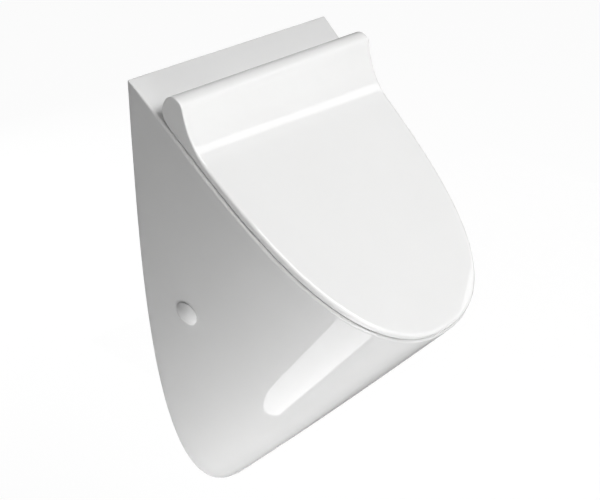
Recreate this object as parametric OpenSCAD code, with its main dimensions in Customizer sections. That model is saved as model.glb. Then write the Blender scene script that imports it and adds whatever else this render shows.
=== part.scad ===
// Wall hung urinal with a soft-close lid, in millimetres, +Z up.
// The wall is the plane y = 0 and the front faces -Y.
// The origin is the centre of the four wall screws, on the wall.

/* [Body outline] */
// Height from the lowest point to the top back edge
body_h = 620; // [590:5:650]
// Width of the back face at its widest
body_w = 319; // [305:1:335]
// Distance of the front lip from the wall
body_d = 330; // [320:5:345]
// Height of the front lip above the lowest point
lip_h = 368; // [355:1:380]
// Width of the rim at its widest, ahead of its rear corners
rim_w = 303; // [296:1:310]
// How much each side of the back face draws in at the top
back_draw = 1.8; // [0:0.1:4]
// Outward swell of the side half way between back face and rim
swell = 2.7; // [0:0.1:5]

/* [Ceramic] */
// Thickness of the outer wall
wall_t = 11; // [9:0.5:13]
// Thickness of the deck under the rim plane
deck_t = 14; // [12:0.5:16]
// Rounding of the edge along the wall
back_edge_r = 3; // [1:0.5:5]
// Rounding of the outer rim edge
rim_edge_r = 3.5; // [1:0.5:5]

/* [Bowl] */
// Width of the rim's flat land round the mouth
land_w = 24; // [20:1:28]
// Distance of the mouth from the top back edge, down the slope
mouth_back_s = 118; // [116:1:126]
// Distance of the mouth's widest point from the top back edge
mouth_mid_s = 182; // [170:1:200]
// Rounding of the mouth's edge
mouth_edge_r = 5; // [2:0.5:6]
// Height of the bowl floor, at the foot of its walls, above the waste elbow
floor_over_elbow = 63; // [62:1:75]
// Width of the bowl floor
floor_w = 184; // [150:2:190]
// Fall of the floor from the walls to the drain
floor_fall = 10; // [5:1:12]
// Distance of the bowl's rear wall from the wall, at the floor
bowl_back_y = 64; // [62:1:70]
// Distance of the drain from the wall
drain_y = 116; // [114:1:120]
// Radius of the flat ring round the drain
drain_flat_r = 46; // [44:1:48]
// Thickness of the bowl floor beside the drain seat
floor_t = 19; // [17:1:20]
// Depth of the service space behind the bowl, at the floor
service_low_y = 50; // [46:1:51]
// Room in front of the expansion plugs, in the service space under the deck
plug_room = 4.25; // [2:0.25:6]

/* [Lid] */
// Gap between the lid and the rim
lid_gap = 1.2; // [0.8:0.1:2]
// Thickness of the lid's plate
lid_t = 8; // [7:0.5:10]
// How far the lid's outline stands inside the rim's
lid_inset = 2.5; // [1:0.5:4]
// Radius of the rolled grip bar
roll_r = 15; // [14:0.5:16]
// Distance of the grip bar's centre from the top back edge, down the slope
pivot_s = 65.5; // [62:0.5:68]
// Height of the grip bar's centre above the rim plane
pivot_off = 24.5; // [24:0.5:26]
// Distance at which the sweep from the grip bar runs out into the plate
sweep_end_s = 138; // [130:1:150]
// Radius of a lid buffer
buffer_r = 5; // [4:0.5:7]
// Radius of a lid buffer's stem
buffer_stem_r = 2; // [1.5:0.1:3]
// Length of a lid buffer's stem
buffer_stem_l = 4; // [3:0.5:5]

/* [Hinge] */
// Distance of each hinge from the centre line
hinge_x = 75; // [65:1:90]
// Width of the hinge post
post_w = 14; // [12:0.5:16]
// Side clearance of the post in the lid's slot
slot_gap = 0.8; // [0.4:0.1:1.5]
// Radius of the post's eye
eye_r = 8; // [7:0.5:8.5]
// Thickness of the post's arm
arm_t = 9; // [7:0.5:9]
// Slant of the arm below the rim plane's direction
arm_angle = 50; // [48:1:54]
// Angle the lid opens through
lid_open_angle = 132; // [110:1:132]
// Thickness of the post's foot
foot_t = 3; // [2.5:0.5:3.5]
// Distance of the foot's rear end from the top back edge
foot_back_s = 72; // [70:1:76]
// Distance of the foot's front end from the top back edge
foot_front_s = 107; // [105:1:108]
// Thickness of the gasket under the foot
gasket_t = 1; // [0.8:0.1:1.5]
// Distance of the hinge bolt from the top back edge
bolt_s = 98; // [97:0.5:99]
// Radius of the hinge bolt
bolt_r = 3; // [2.5:0.5:3]
// Radius of the hinge bolt's head
bolt_head_r = 5.5; // [5:0.5:6]
// Height of the hinge bolt's head
bolt_head_h = 3; // [2:0.5:3]
// Radius of the hole for the expansion plug
plug_r = 6; // [5.5:0.5:6.5]
// Radius of the plug's swollen end below the deck
plug_swell_r = 8; // [7:0.5:8]
// Length of the plug's swollen end
plug_swell_l = 7; // [5:0.5:8]
// Length of the expansion nut
plug_nut_l = 6; // [4:0.5:7]
// Radius of the hinge pin
pin_r = 3; // [2.5:0.5:3.5]
// Clearance round pins, bolts and sleeves
pin_gap = 0.05; // [0.02:0.01:0.08]
// Length of the pin on each side of the post
pin_reach = 12; // [8:1:14]
// Outer radius of the hinge bush and of the damper
bush_r = 5.5; // [5:0.5:6]
// Length of the damper cartridge
damper_l = 46; // [35:1:50]

/* [Side fixing] */
// Height of the side fixings above the lowest point
fixing_h = 347; // [340:1:352]
// Distance of the side fixings from the wall
fixing_y = 67.5; // [64:0.5:70]
// Radius of the cover cap
cap_r = 15; // [13:0.5:17]
// Height of the cover cap's dome
cap_h = 4; // [3.5:0.5:6]
// Radius of the recess under the cap
recess_r = 11; // [10.5:0.5:11.5]
// Depth of the recess under the cap
recess_depth = 5; // [4.5:0.5:5.5]
// Radius of the side locking screw
screw_r = 4; // [3.5:0.5:4.5]
// Radius of the side locking screw's head
screw_head_r = 6.5; // [6:0.5:7.5]
// Height of the side locking screw's head
screw_head_h = 4; // [3.5:0.5:4.5]
// Outer radius of the screw sleeve
sleeve_r = 6.5; // [6:0.5:7]
// Thickness of the sleeve's flange
sleeve_flange_t = 2; // [1.5:0.5:2.5]
// Thickness of the bracket's steel
bracket_t = 3; // [2.5:0.5:4]
// Height of the wall bracket
bracket_h = 110; // [100:2:120]
// Distance of the wall screws from the centre line
wall_hole_x = 105; // [100:1:108]
// Half the height between the wall screws
wall_hole_dz = 35; // [30:1:40]
// Radius of the wall screw holes
wall_hole_r = 4.5; // [4:0.5:5.5]

/* [Water inlet] */
// Drop of the inlet below the deck, at the front of the service space
inlet_drop = 38.3; // [33:0.1:46]
// Outer radius of the inlet tube
inlet_r = 10.5; // [9.5:0.5:11]
// Radius of the water way
water_r = 6; // [5:0.5:7]
// Outer radius of the wall-side socket
socket_r = 15; // [14:0.5:17]
// Radius of the wall-side socket's bore, a half inch pipe thread
socket_bore_r = 9.3; // [9:0.1:10]
// Depth of the wall-side socket
socket_l = 16; // [12:1:20]
// Radius of the flanges and seals at the inlet
inlet_flange_r = 20; // [19:0.5:21]
// Thickness of the inlet flange
inlet_flange_t = 4; // [3:0.5:5]
// Thickness of the inlet seal
inlet_seal_t = 3; // [2:0.5:4]
// Thickness of the ceramic left between the inlet's seats
inlet_web_t = 9; // [8:0.5:9.5]
// Radius of the spreader's deflector
spreader_r = 24; // [22:0.5:26]
// Length of the spreader's hub
spreader_l = 9; // [8:0.5:12]

/* [Waste] */
// Depth of the waste flange's seat
seat_depth = 5; // [4.5:0.5:5.5]
// Radius of the waste flange
flange_r = 41.5; // [40:0.5:42.5]
// Thickness of the waste flange
flange_t = 3; // [2.5:0.5:3.5]
// Outer radius of the flange's threaded tail
tail_r = 27; // [26:0.5:28]
// Wall of the flange's tail
tail_t = 3; // [2.5:0.5:3.5]
// Thickness of the seal above the ceramic
top_seal_t = 1; // [0.8:0.1:1.2]
// Thickness of the seal below the ceramic
low_seal_t = 3; // [2:0.5:3.5]
// Height of the waste nut
nut_h = 9; // [7:1:10]
// Across-corners radius of the waste nut
nut_r = 36; // [34:0.5:38]
// Radius of the strainer's plate
strainer_r = 33; // [31:0.5:35]
// Thickness of the strainer's plate
strainer_t = 3; // [2.5:0.5:3.5]
// Radius of the strainer's holes
strainer_hole_r = 2.4; // [2:0.1:2.6]
// Running gap under the strainer
strainer_gap = 0.3; // [0.2:0.1:0.5]
// Outer radius of the elbow's upright spigot
leg_r = 20; // [19:0.5:20.5]
// Outer radius of the elbow and of its level pipe
pipe_r = 16; // [15:0.5:16]
// Wall of the elbow
pipe_t = 2; // [1.5:0.5:2.5]
// Height of the outlet above the lowest point
outlet_h = 172; // [160:1:185]
// Least gap between the elbow and the underside's wall
elbow_gap = 1.4; // [0.5:0.1:6]
// Radius of the trap body
trap_r = 27; // [26.5:0.5:28]
// Distance of the trap's axis from the wall
trap_y = 50; // [50:0.5:51]
// Upright gap between the trap's foot and the underside's wall
trap_foot_gap = 4.6; // [2:0.1:10]
// Gap between the trap's cap and the bowl floor
trap_cap_gap = 3; // [2:0.5:5]
// Wall of the trap
trap_t = 2.5; // [2:0.5:3]
// Outer radius of the dip tube
dip_r = 20; // [19:0.5:20.5]
// Gap under the dip tube
dip_gap = 9; // [7:1:14]
// Radius of the outlet socket's bore, for a 50 mm pipe
outlet_r = 25.2; // [25:0.1:25.5]
// Wall of the outlet socket
outlet_t = 3.3; // [2.5:0.1:3.5]
// Depth of the outlet socket
outlet_l = 19; // [17:0.5:20]

/* [Hidden] */
$fn = 64;
left = -1;
right = 1;
over = 1; // overrun of every cut
fit_gap = 0.3; // between pieces that sit in or on each other and may move

// An outline's half width at the share q of its height is
// half * (1 - (1 - q)^power)^(1 / root), led to its corner by q^lift
back_power_share = 3.02;
back_root_share = 2.36;
rim_power_share = 3.65;
rim_root_share = 2.25;
lift_share = 4;
crowd_share = 2.2; // gathers the outline's points towards its tight lower end
half_steps = 30; // steps on each side of an outline
bowl_steps = 64; // steps round the bowl
wall_steps = 12; // steps down the bowl's wall

slope = atan((body_h - lip_h) / body_d); // of the rim plane
rise = lip_h / body_d; // of the underside
rim_l = norm([body_d, body_h - lip_h]);
corner_half = body_w / 2 - back_draw;
// Depth of the service space under the deck
service_top_y = (bolt_s + plug_swell_r) * cos(slope) - deck_t * sin(slope) + plug_room;

// A wedge is [half width at the back, half width at the rim, half width at its
// top corners, lowest point, top edge, depth, height of its front lip].
function wedge(in_side, in_low, in_top, back) = let(
    low = in_low - rise * back,
    top = body_h - in_top + tan(slope) * back,
    depth = (top - low) / (rise + tan(slope)))
  [body_w / 2 - in_side, rim_w / 2 - in_side, corner_half - in_side,
   low, top, depth, low + rise * depth];
outer = wedge(0, 0, 0, 0);
// The inner face of the outer wall; its back lies a cut's overrun behind the wall plane
wall_run = wall_t * norm([1, rise]); // wall measured upright, at the underside
deck_run = deck_t / cos(slope); // deck measured upright
inner = wedge(wall_t, wall_run, deck_run, over);

function half_at(q, half, corner, power, root) =
  half * pow(1 - pow(1 - q, power), 1 / root) + (corner - half) * pow(q, lift_share);
function height_share(v) = min(1, pow(abs(v), crowd_share));
function back_point(w, v) = let(q = height_share(v))
  [sign(v) * half_at(q, w[0], w[2], back_power_share, back_root_share),
   w[3] + (w[4] - w[3]) * q];
// The rim outline in the rim plane: x, and distance up the slope from the lip
function rim_point(w, v) = let(q = height_share(v))
  [sign(v) * half_at(q, w[1], w[2], rim_power_share, rim_root_share),
   norm([w[5], w[4] - w[6]]) * q];
function outward(a, b) = [b.y - a.y, a.x - b.x] / norm(b - a);
probe_share = 0.001; // step for taking a slope
function back_out(w, v) = outward(back_point(w, v - probe_share), back_point(w, v + probe_share));
function rim_out(w, v) = outward(rim_point(w, v - probe_share), rim_point(w, v + probe_share));
// A ring is [share of the way from back to rim, depth from the back, depth from the rim, inset]
function skin_point(w, v, ring) = let(
    q = height_share(v),
    b2 = back_point(w, v) - back_out(w, v) * ring[3],
    r2 = rim_point(w, v) - rim_out(w, v) * ring[3],
    s = norm([w[5], w[4] - w[6]]) - r2.y,
    b = [b2.x, 0, b2.y],
    r = [r2.x, -s * cos(slope), w[4] - s * sin(slope)],
    t = ring[0] + ring[1] / (w[5] * (1 - q)) - ring[2] / (norm(r - b)),
    puff = swell * sin(180 * max(0, min(1, t))) * (1 - q),
    out = back_out(w, v))
  b + (r - b) * t + [out.x, 0, out.y] * puff;
function wedge_corner(w, side) = [side * w[2], 0, w[4]];
function ring_points(w, ring, n) = [for (i = [1:2 * n - 1]) skin_point(w, (i - n) / n, ring)];
function wedge_id(k, i, n) =
  i == 0 ? 0 : i == 2 * n ? 1 : 2 + k * (2 * n - 1) + i - 1;
// Faces across a flat end, from side to side
function wedge_end(k, n, turned) = [for (i = [0:n - 1]) let(
    strip = i < n - 1 ? [i, i + 1, 2 * n - i - 1, 2 * n - i] : [n - 1, n, n + 1],
    far = len(strip) - 1)
  [for (j = [0:far]) wedge_id(k, strip[turned ? far - j : j], n)]];
// Closed wedge: its rings share the two top corners
module wedge_solid(w, rings, n) {
  last = len(rings) - 1;
  polyhedron(
    points = concat([wedge_corner(w, left), wedge_corner(w, right)],
      [for (ring = rings) each ring_points(w, ring, n)]),
    faces = concat(
      wedge_end(0, n, false), wedge_end(last, n, true),
      [for (k = [0:last - 1], i = [0:2 * n - 1]) if (i > 0)
        [wedge_id(k, i + 1, n), wedge_id(k, i, n), wedge_id(k + 1, i, n)]],
      [for (k = [0:last - 1], i = [0:2 * n - 1]) if (i < 2 * n - 1)
        [wedge_id(k + 1, i + 1, n), wedge_id(k, i + 1, n), wedge_id(k + 1, i, n)]]));
}

soft_share = 1 - sqrt(0.5); // middle of a quarter round
span_shares = [0.15, 0.3, 0.45, 0.6, 0.75, 0.88];
outer_rings = concat(
  [[0, 0, 0, back_edge_r], [0, soft_share * back_edge_r, 0, soft_share * back_edge_r],
   [0, back_edge_r, 0, 0]],
  [for (t = span_shares) [t, 0, 0, 0]],
  [[1, 0, rim_edge_r, 0], [1, 0, soft_share * rim_edge_r, soft_share * rim_edge_r],
   [1, 0, 0, rim_edge_r]]);
inner_rings = [[0, 0, 0, 0], [0.33, 0, 0, 0], [0.67, 0, 0, 0], [1, 0, 0, 0]];

// The rim plane as a drawing board: down the slope, off the plane, and along -X
module in_profile() translate([0, 0, body_h]) rotate([90 + slope, 0, 0]) rotate([0, -90, 0]) children();
// The rim plane with its own +Z off the plane and +Y up the slope
module on_rim(x, s) translate([0, 0, body_h]) rotate([slope, 0, 0]) translate([x, -s, 0]) children();
module bar_along_x(s, off, x_low, x_high, r)
  in_profile() translate([s, off, -x_high]) cylinder(h = x_high - x_low, r = r);
module plate_along_x(x_low, x_high)
  in_profile() translate([0, 0, -x_high]) linear_extrude(x_high - x_low) children();
// Puts a piece in the shared frame
module placed() translate([0, 0, -fixing_h]) children();

// Bowl
mouth_half = rim_w / 2 - land_w;
mouth_tip_s = rim_l - land_w;
front_power_share = 2.2;
front_root_share = 1.9;
rear_power_share = 2.8;
floor_power_share = 2.4;
bowl_round_share = 2.6;
front_clear = 8; // between the floor's front end and the inner face of the underside
// The elbow's level pipe meets the outlet, or stands higher where the underside is in its way
elbow_h = max(outlet_h, wall_run + rise * drain_y + (pipe_r + elbow_gap) * norm([1, rise]));
floor_h = elbow_h + floor_over_elbow;
drain_h = floor_h - floor_fall;
floor_front_y = (floor_h - wall_run) / rise - front_clear;
seat_h = drain_h - seat_depth;
floor_under_h = drain_h - floor_t;
function power_of(c, share) = sign(c) * pow(abs(c), 2 / share);
// Mouth in the rim plane: x, and distance down the slope
function mouth_flat(a) = sin(a) < 0
  ? [mouth_half * power_of(cos(a), front_power_share),
     mouth_mid_s - (mouth_tip_s - mouth_mid_s) * power_of(sin(a), front_root_share)]
  : [mouth_half * power_of(cos(a), rear_power_share),
     mouth_mid_s - (mouth_mid_s - mouth_back_s) * power_of(sin(a), rear_power_share)];
function mouth_out(a) = let(d = mouth_flat(a + probe_share * 360) - mouth_flat(a - probe_share * 360))
  [-d.y, d.x] / norm(d);
function mouth_point(a, grow, off) = let(p = mouth_flat(a) + mouth_out(a) * grow)
  [p.x, -p.y * cos(slope) - off * sin(slope), body_h - p.y * sin(slope) + off * cos(slope)];
function foot_point(a) = [
  floor_w / 2 * power_of(cos(a), floor_power_share),
  -drain_y + (sin(a) < 0 ? floor_front_y - drain_y : drain_y - bowl_back_y)
    * power_of(sin(a), floor_power_share),
  floor_h];
function drain_point(a) = [drain_flat_r * cos(a), -drain_y + drain_flat_r * sin(a), drain_h];
// From the mouth towards the foot of the wall, and round it to the drain
function bowl_point(a, turn) = let(
    m = mouth_point(a, 0, -mouth_edge_r), c = foot_point(a), d = drain_point(a))
  c + (m - c) * (1 - power_of(sin(turn), bowl_round_share))
    + (d - c) * (1 - power_of(cos(turn), bowl_round_share));
function bowl_ring(k) =
  k == 0 ? [for (j = [0:bowl_steps - 1]) mouth_point(360 * j / bowl_steps, mouth_edge_r + 2 * over, over)] :
  k == 1 ? [for (j = [0:bowl_steps - 1]) mouth_point(360 * j / bowl_steps,
    soft_share * mouth_edge_r, -soft_share * mouth_edge_r)] :
  [for (j = [0:bowl_steps - 1]) bowl_point(360 * j / bowl_steps, 90 * (k - 2) / wall_steps)];
module bowl_space() {
  last = wall_steps + 2;
  polyhedron(
    points = [for (k = [0:last]) each bowl_ring(k)],
    faces = concat(
      [[for (j = [bowl_steps - 1:-1:0]) j]],
      [[for (j = [0:bowl_steps - 1]) last * bowl_steps + j]],
      [for (k = [0:last - 1], j = [0:bowl_steps - 1]) let(i = (j + 1) % bowl_steps)
        [k * bowl_steps + j, k * bowl_steps + i, (k + 1) * bowl_steps + j]],
      [for (k = [0:last - 1], j = [0:bowl_steps - 1]) let(i = (j + 1) % bowl_steps)
        [k * bowl_steps + i, (k + 1) * bowl_steps + i, (k + 1) * bowl_steps + j]]));
}

// Open space behind and below the bowl for the water fittings
deck_low_h = body_h - deck_run - tan(slope) * service_top_y; // where the deck meets that space's front
module service_space() intersection() {
  translate([0, over, 0]) wedge_solid(inner, inner_rings, half_steps);
  rotate([90, 0, -90]) linear_extrude(body_w, center = true) polygon([
    [-2 * over, -over], [body_d, -over], [body_d, floor_under_h], [service_low_y, floor_under_h],
    [service_top_y, deck_low_h],
    [service_top_y, body_h], [-2 * over, body_h]]);
}

// Side fixing: a frame at the side's surface, its +Z pointing out
function side_x(y, z) = let(
    q = (z - rise * y) / body_h,
    t = y / (body_d * (1 - q)),
    b = half_at(q, outer[0], outer[2], back_power_share, back_root_share),
    r = half_at(q, outer[1], outer[2], rim_power_share, rim_root_share))
  b + (r - b) * t + swell * sin(180 * t) * (1 - q);
side_step = 1; // step for taking the side's slope
side_lean_y = (side_x(fixing_y + side_step, fixing_h) - side_x(fixing_y - side_step, fixing_h))
  / (2 * side_step);
side_lean_z = (side_x(fixing_y, fixing_h + side_step) - side_x(fixing_y, fixing_h - side_step))
  / (2 * side_step);
side_normal = [1, side_lean_y, -side_lean_z] / norm([1, side_lean_y, side_lean_z]);
module on_side(side) mirror([side == left ? 1 : 0, 0, 0])
  translate([side_x(fixing_y, fixing_h), -fixing_y, fixing_h])
  rotate([0, acos(side_normal.z), atan2(side_normal.y, side_normal.x)]) children();

tab_gap = 3.5; // between the ceramic's inner face and the bracket's tab
tab_depth = wall_t + tab_gap;
tab_half_h = 20; // half the height of the tab
tab_front = 16; // the tab runs this far past the screw
boss_l = 6; // length of the threaded boss on the tab
boss_r = 7.5; // radius of that boss
boss_low = tab_depth + bracket_t + boss_l;
pocket_gap = 3; // room round the tab and its boss
module bracket_pocket(side) on_side(side)
  translate([-tab_half_h - pocket_gap, -tab_front - pocket_gap, -boss_low - pocket_gap])
  cube([2 * (tab_half_h + pocket_gap), tab_front + pocket_gap + fixing_y + over,
    boss_low + pocket_gap - wall_t]);

// Hinge
slot_half = post_w / 2 + slot_gap;
sweep_r = 2 * pivot_off; // reaches past the lid's underside
arm_gap = 1; // between the slot and the post's arm
eye_gap = 1; // between the slot and the post's eye
head_clear = 1; // between the lid and the bolt's head
plate_top = lid_gap + lid_t;
foot_top = gasket_t + foot_t;

// Inlet
inlet_h = deck_low_h - inlet_drop;
inlet_seat_y = service_low_y + (service_top_y - service_low_y)
  * (inlet_h + inlet_flange_r + over - floor_under_h) / (deck_low_h - floor_under_h);
spreader_seat_y = inlet_seat_y + inlet_web_t;
seal_squeeze = 1.5; // thickness of the spreader's gasket
seat_room = 1; // round the flange in the rear seat; twice that in the bowl
deflector_t = 3; // thickness of the spreader's deflector and of its flange
module along_y(y_low, y_high, r, z)
  translate([0, -y_low, z]) rotate([90, 0, 0]) cylinder(h = y_high - y_low, r = r);

module ceramic_body() color("white") placed() difference() {
  wedge_solid(outer, outer_rings, half_steps);
  bowl_space();
  service_space();
  for (side = [left, right]) {
    bracket_pocket(side);
    on_side(side) translate([0, 0, -recess_depth]) cylinder(h = recess_depth + over, r = recess_r);
    on_side(side) translate([0, 0, -wall_t - over]) cylinder(h = wall_t + 2 * over, r = sleeve_r);
    on_rim(side * hinge_x, bolt_s) translate([0, 0, -deck_t - over])
      cylinder(h = deck_t + 2 * over, r = plug_r);
  }
  along_y(-over, inlet_seat_y, inlet_flange_r + seat_room, inlet_h);
  along_y(0, spreader_seat_y + over, inlet_r, inlet_h);
  along_y(spreader_seat_y, spreader_seat_y + spreader_l + 2 * deflector_t,
    inlet_flange_r + 2 * seat_room, inlet_h);
  translate([0, -drain_y, seat_h]) cylinder(h = seat_depth + over, r = flange_r + fit_gap);
  translate([0, -drain_y, floor_under_h - over]) cylinder(h = floor_t + over, r = tail_r + fit_gap);
}

function bend(a, b, c, d, t) =
  a * pow(1 - t, 3) + 3 * b * t * pow(1 - t, 2) + 3 * c * (1 - t) * t * t + d * t * t * t;
roll_top_angle = 45; // where the front sweep leaves the grip bar
curve_steps = 8; // steps along each curve
front_pull_share = 0.3;
plate_pull_share = 0.45;
heel_share = 0.63; // of the grip bar's radius, to where its heel meets the underside
heel_drop_share = 0.9;
heel_run_share = 0.72;
// The lid's section: grip bar, front sweep, plate, underside and heel
module lid_profile() {
  heel_s = pivot_s + heel_share * roll_r;
  centre = [pivot_s, pivot_off];
  lead = centre + roll_r * [cos(roll_top_angle), sin(roll_top_angle)];
  run = sweep_end_s - lead.x;
  polygon(concat(
    [for (i = [0:2 * curve_steps]) let(a = 180 - (180 - roll_top_angle) * i / (2 * curve_steps))
      centre + roll_r * [cos(a), sin(a)]],
    [for (i = [1:curve_steps]) bend(lead,
      lead + front_pull_share * run * [sin(roll_top_angle), -cos(roll_top_angle)],
      [sweep_end_s - plate_pull_share * run, plate_top], [sweep_end_s, plate_top], i / curve_steps)],
    [[rim_l, plate_top], [rim_l, lid_gap]],
    [for (i = [0:curve_steps - 1]) bend([heel_s, lid_gap],
      [heel_s - heel_run_share * (heel_s - pivot_s + roll_r), lid_gap],
      [pivot_s - roll_r, pivot_off - heel_drop_share * roll_r], [pivot_s - roll_r, pivot_off],
      i / curve_steps)]));
}
function lid_point(v) = let(p = rim_point(outer, v) - rim_out(outer, v) * lid_inset) [p.x, p.y - rim_l];
module lid_outline() polygon(concat(
  [for (i = [0:2 * half_steps]) lid_point((i - half_steps) / half_steps)]));
module hinge_slot() {
  translate([pivot_s, pivot_off]) {
    circle(r = eye_r + eye_gap);
    for (a = [-arm_angle, -arm_angle - lid_open_angle])
      rotate(a) translate([0, -arm_t / 2 - arm_gap]) square([sweep_r, arm_t + 2 * arm_gap]);
    polygon(concat([[0, 0]], [for (i = [0:curve_steps])
      let(a = -arm_angle - lid_open_angle * i / curve_steps) sweep_r * [cos(a), sin(a)]]));
  }
  translate([pivot_s, 0])
    square([foot_front_s + head_clear - pivot_s, foot_top + bolt_head_h + head_clear]);
}
buffer_s_shares = [0.42, 0.8]; // places of the buffers along the rim
buffer_inset = 12; // of the buffers inside the rim's outline
function buffer_places() = [for (share = buffer_s_shares, side = [left, right]) let(
    v = pow(1 - share, 1 / crowd_share),
    p = rim_point(outer, v) - rim_out(outer, v) * buffer_inset) [side * p.x, rim_l - p.y]];
module lid() color("whitesmoke") placed() difference() {
  intersection() {
    plate_along_x(-body_w / 2, body_w / 2) lid_profile();
    on_rim(0, 0) linear_extrude(pivot_off + 2 * roll_r) lid_outline();
  }
  for (side = [left, right]) {
    translate([side * hinge_x, 0, 0]) plate_along_x(-slot_half, slot_half) hinge_slot();
    bar_along_x(pivot_s, pivot_off, min(side * damper_in_x, side * bush_out_x),
      max(side * damper_in_x, side * bush_out_x), bush_r);
  }
  for (p = buffer_places()) on_rim(p.x, p.y) translate([0, 0, lid_gap - over])
    cylinder(h = buffer_stem_l + over, r = buffer_stem_r);
}
module lid_buffers() color("dimgray") placed() for (p = buffer_places()) on_rim(p.x, p.y) {
  translate([0, 0, fit_gap]) cylinder(h = lid_gap - fit_gap, r = buffer_r);
  translate([0, 0, lid_gap - fit_gap]) cylinder(h = buffer_stem_l + fit_gap, r = buffer_stem_r);
}

bush_cap_t = 1; // of the bush past the pin's end
bush_out_x = hinge_x + slot_half + pin_reach + bush_cap_t;
damper_in_x = hinge_x - slot_half - damper_l;
module at_hinge(side) translate([side * hinge_x, 0, 0]) children();
module hinge_post(side) color("silver") placed() at_hinge(side) difference() {
  plate_along_x(-post_w / 2, post_w / 2) union() {
    arm_l = (pivot_off - gasket_t - arm_t / 2 * cos(arm_angle)) / sin(arm_angle);
    translate([pivot_s, pivot_off]) circle(r = eye_r);
    translate([pivot_s, pivot_off]) rotate(-arm_angle) translate([0, -arm_t / 2]) square([arm_l, arm_t]);
    translate([foot_back_s, gasket_t]) square([foot_front_s - foot_back_s, foot_t]);
  }
  bar_along_x(pivot_s, pivot_off, -post_w / 2 - over, post_w / 2 + over, pin_r);
  on_rim(0, bolt_s) cylinder(h = foot_top + over, r = bolt_r + pin_gap);
}
module hinge_pin(side) color("gainsboro") placed() at_hinge(side)
  bar_along_x(pivot_s, pivot_off, -slot_half - pin_reach, slot_half + pin_reach, pin_r);
module sleeve_along_x(side, x_low, x_high)
  at_hinge(side) mirror([side == left ? 1 : 0, 0, 0]) difference() {
    bar_along_x(pivot_s, pivot_off, x_low, x_high, bush_r);
    bar_along_x(pivot_s, pivot_off, -slot_half - pin_reach - pin_gap, slot_half + pin_reach + pin_gap,
      pin_r + pin_gap);
  }
module lid_damper(side) color("lightgray") placed()
  sleeve_along_x(side, damper_in_x - hinge_x, -slot_half);
module hinge_bush(side) color("ivory") placed()
  sleeve_along_x(side, slot_half, bush_out_x - hinge_x);
module hinge_gasket(side) color("dimgray") placed() at_hinge(side) difference() {
  plate_along_x(-post_w / 2, post_w / 2)
    translate([foot_back_s, 0]) square([foot_front_s - foot_back_s, gasket_t]);
  on_rim(0, bolt_s) translate([0, 0, -over]) cylinder(h = gasket_t + 2 * over, r = bolt_r + pin_gap);
}
plug_low = deck_t + plug_swell_l;
module hinge_bolt(side) color("gainsboro") placed() on_rim(side * hinge_x, bolt_s) {
  translate([0, 0, foot_top]) cylinder(h = bolt_head_h, r = bolt_head_r);
  translate([0, 0, -plug_low - plug_nut_l]) cylinder(h = plug_low + plug_nut_l + foot_top, r = bolt_r);
}
module expansion_plug(side) color("dimgray") placed() on_rim(side * hinge_x, bolt_s) difference() {
  union() {
    translate([0, 0, -deck_t - over]) cylinder(h = deck_t + over, r = plug_r);
    translate([0, 0, -plug_low]) cylinder(h = plug_swell_l, r = plug_swell_r);
  }
  translate([0, 0, -plug_low - over]) cylinder(h = plug_low + 2 * over, r = bolt_r);
}
module expansion_nut(side) color("goldenrod") placed() on_rim(side * hinge_x, bolt_s)
  translate([0, 0, -plug_low - plug_nut_l]) difference() {
    cylinder(h = plug_nut_l, r = plug_r, $fn = 6);
    translate([0, 0, -over]) cylinder(h = plug_nut_l + 2 * over, r = bolt_r);
  }

module wall_bracket(side) color("slategray") placed() difference() {
  union() {
    mirror([side == left ? 1 : 0, 0, 0]) translate([bracket_in_x, -bracket_t, fixing_h - bracket_h / 2])
      cube([bracket_out_x - bracket_in_x, bracket_t, bracket_h]);
    intersection() {
      on_side(side) translate([-tab_half_h, -tab_front, -tab_depth - bracket_t])
        cube([2 * tab_half_h, tab_front + body_d, bracket_t]);
      translate([-body_w, -body_d, 0]) cube([2 * body_w, body_d, body_h]);
    }
    on_side(side) translate([0, 0, -boss_low]) cylinder(h = boss_l + bracket_t, r = boss_r);
  }
  for (dz = [-wall_hole_dz, wall_hole_dz])
    translate([side * wall_hole_x, over, fixing_h + dz]) rotate([90, 0, 0])
      cylinder(h = bracket_t + 2 * over, r = wall_hole_r);
  on_side(side) translate([0, 0, -boss_low - over])
    cylinder(h = bracket_t + boss_l + 2 * over, r = screw_r);
}
bracket_margin = 12; // of steel inside the wall screws
bracket_in_x = wall_hole_x - bracket_margin;
bracket_gap = 1; // between the bracket's plate and the ceramic's inner face
bracket_out_x = side_x(0, fixing_h - bracket_h / 2) - wall_t - bracket_gap;
module screw_sleeve(side) color("white") placed() on_side(side) difference() {
  union() {
    translate([0, 0, -tab_depth]) cylinder(h = tab_depth - recess_depth + sleeve_flange_t, r = sleeve_r);
    translate([0, 0, -recess_depth]) cylinder(h = sleeve_flange_t, r = recess_r - pin_gap);
  }
  translate([0, 0, -tab_depth - over]) cylinder(h = tab_depth + over, r = screw_r);
}
head_seat = recess_depth - sleeve_flange_t;
module side_screw(side) color("gainsboro") placed() on_side(side) {
  translate([0, 0, -head_seat]) cylinder(h = screw_head_h, r = screw_head_r);
  translate([0, 0, -boss_low]) cylinder(h = boss_low - head_seat, r = screw_r);
}
cap_skin_t = 1.6; // thickness of the cap's dome
cap_lift = 0.2; // of the cap's edge above the ceramic
cap_skirt_t = 1.4; // wall of the cap's skirt
cap_round_share = 3; // of the dome's section, where 2 is an ellipse
module cover_cap(side) color("white") placed() on_side(side) rotate_extrude() {
  skirt = recess_r - 3 * pin_gap;
  polygon(concat(
    [[0, cap_h - cap_skin_t], [skirt - cap_skirt_t, cap_h - cap_skin_t], [skirt - cap_skirt_t, -head_seat],
     [skirt, -head_seat], [skirt, cap_lift]],
    [for (i = [0:2 * curve_steps]) let(a = 45 * i / curve_steps)
      [cap_r * power_of(cos(a), cap_round_share),
       cap_lift + (cap_h - cap_lift) * power_of(sin(a), cap_round_share)]]));
}

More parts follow.
